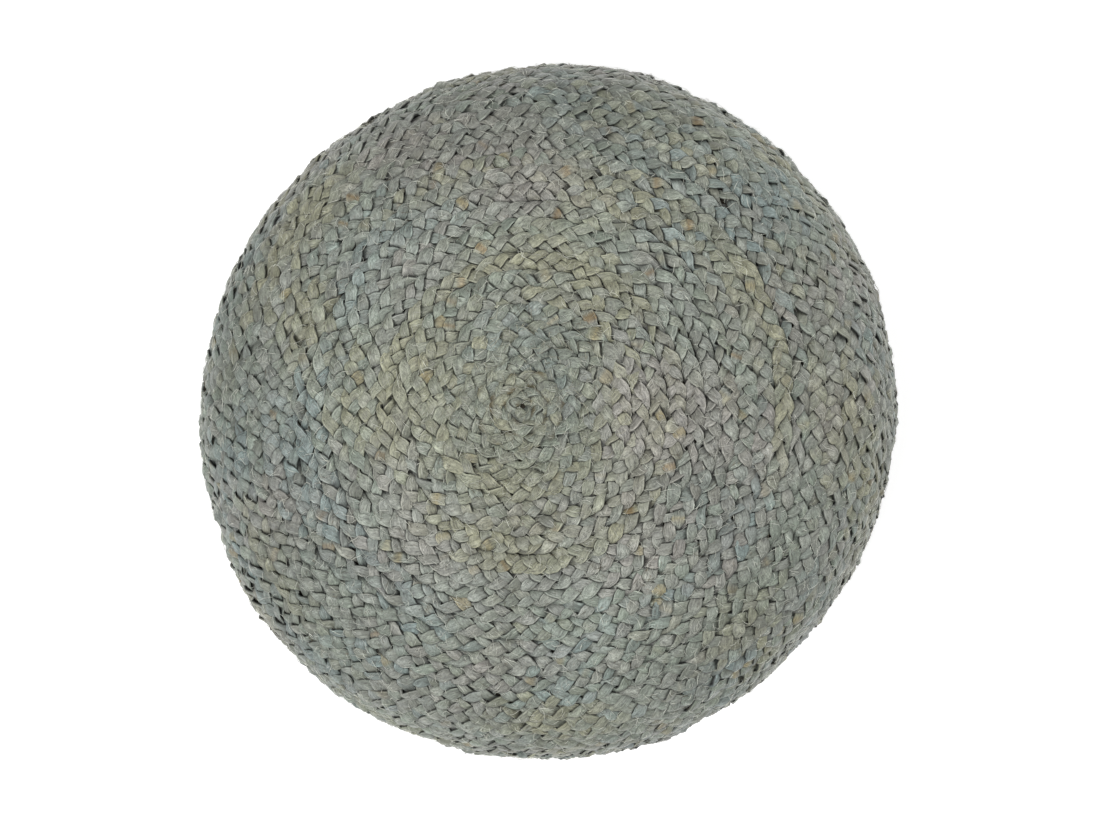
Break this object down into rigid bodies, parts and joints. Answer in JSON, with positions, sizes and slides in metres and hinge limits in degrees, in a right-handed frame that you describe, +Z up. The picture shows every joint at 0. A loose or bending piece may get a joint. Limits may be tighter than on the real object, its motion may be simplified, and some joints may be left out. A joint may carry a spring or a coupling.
{
  "type": "jute pouf",
  "caption": "Round filled floor pouf with a crowned top, rounded shoulders and soft sides, its cover one spiral of sewn plaited jute from crown to flat base.",
  "frame": {"origin": "centre of the flat base, on the floor under the middle of the pouf's outline", "axes": "+Z up from the floor along the pouf's axis; +X is the right of the picture, which looks down on the top, and +Y its upper side"},
  "size_m": [0.4984, 0.5012, 0.3501],
  "materials": {
    "plaited_jute": "matte"
  },
  "bodies": {
    "root": {"pouf": "plaited_jute"}
  },
  "joints": []
}
